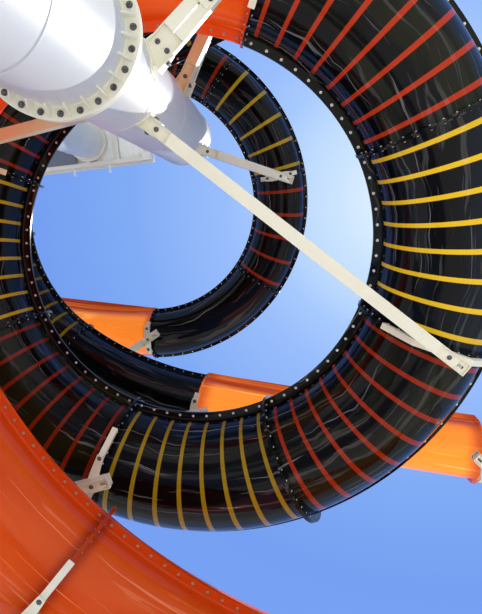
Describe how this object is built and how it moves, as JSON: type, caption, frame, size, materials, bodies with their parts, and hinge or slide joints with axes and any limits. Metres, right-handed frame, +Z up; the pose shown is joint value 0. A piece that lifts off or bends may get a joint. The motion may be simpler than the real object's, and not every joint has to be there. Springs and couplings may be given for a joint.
{
  "type": "water slide tower",
  "caption": "Water slide tower: a wide raft tube and a narrow body slide wound round a steel column, on bracket arms, with a start deck on a far column.",
  "frame": {"origin": "centre of the main column's foot, on the ground", "axes": "+Z up; +X and +Y level, with the left column on the -X side and both side columns on the +Y side of the main column"},
  "size_m": [12.2988, 10.0186, 17.5806],
  "materials": {
    "black_gelcoat": "high gloss black laminate with translucent cross stripes",
    "orange_gelcoat": "high gloss orange laminate",
    "bright_orange_gelcoat": "thin orange laminate that the sun shines through",
    "white_steel": "semi gloss white paint on steel tube",
    "cream_steel": "semi gloss cream paint on steel plate and box section",
    "grey_steel": "satin light grey paint on steel tube",
    "deck_steel": "satin light grey paint on steel beams and deck plate",
    "zinc_bolts": "dull zinc plated bolts and washers",
    "flange_edge": "trimmed laminate flange with sealant, dark olive grey"
  },
  "bodies": {
    "root": {"raft_black_1": "black_gelcoat", "raft_black_2": "black_gelcoat", "raft_black_3": "black_gelcoat", "raft_black_4": "black_gelcoat", "raft_black_5": "black_gelcoat", "raft_black_6": "black_gelcoat", "raft_black_7": "black_gelcoat", "raft_black_8": "black_gelcoat", "raft_black_9": "black_gelcoat", "raft_orange_1": "orange_gelcoat", "raft_orange_2": "orange_gelcoat", "raft_orange_3": "orange_gelcoat", "raft_orange_4": "orange_gelcoat", "raft_orange_5": "orange_gelcoat", "raft_orange_6": "orange_gelcoat", "body_flume_1": "bright_orange_gelcoat", "body_flume_2": "bright_orange_gelcoat", "body_tube_3": "black_gelcoat", "body_tube_4": "black_gelcoat", "body_tube_5": "black_gelcoat", "body_tube_6": "black_gelcoat", "body_tube_7": "black_gelcoat", "body_tube_8": "black_gelcoat", "body_tube_9": "black_gelcoat", "body_tube_10": "black_gelcoat", "body_flume_11": "bright_orange_gelcoat", "main_column_lower": "white_steel", "main_column_upper": "white_steel", "left_column": "white_steel", "right_column": "white_steel", "far_column": "grey_steel", "far_deck_frame": "deck_steel", "far_deck": "deck_steel", "arm_raft_upper": "cream_steel", "arm_raft_left": "cream_steel", "arm_raft_long": "cream_steel", "arm_raft_colour_change": "cream_steel", "arm_raft_low": "cream_steel", "arm_raft_outer": "cream_steel", "arm_raft_bottom": "cream_steel", "arm_orange_outer": "cream_steel", "arm_orange_end": "cream_steel", "arm_body_loop": "cream_steel", "arm_body_entry": "cream_steel", "arm_body_left": "cream_steel", "arm_body_run": "cream_steel", "arm_body_end": "cream_steel", "arm_entry_end": "cream_steel"}
  },
  "joints": []
}
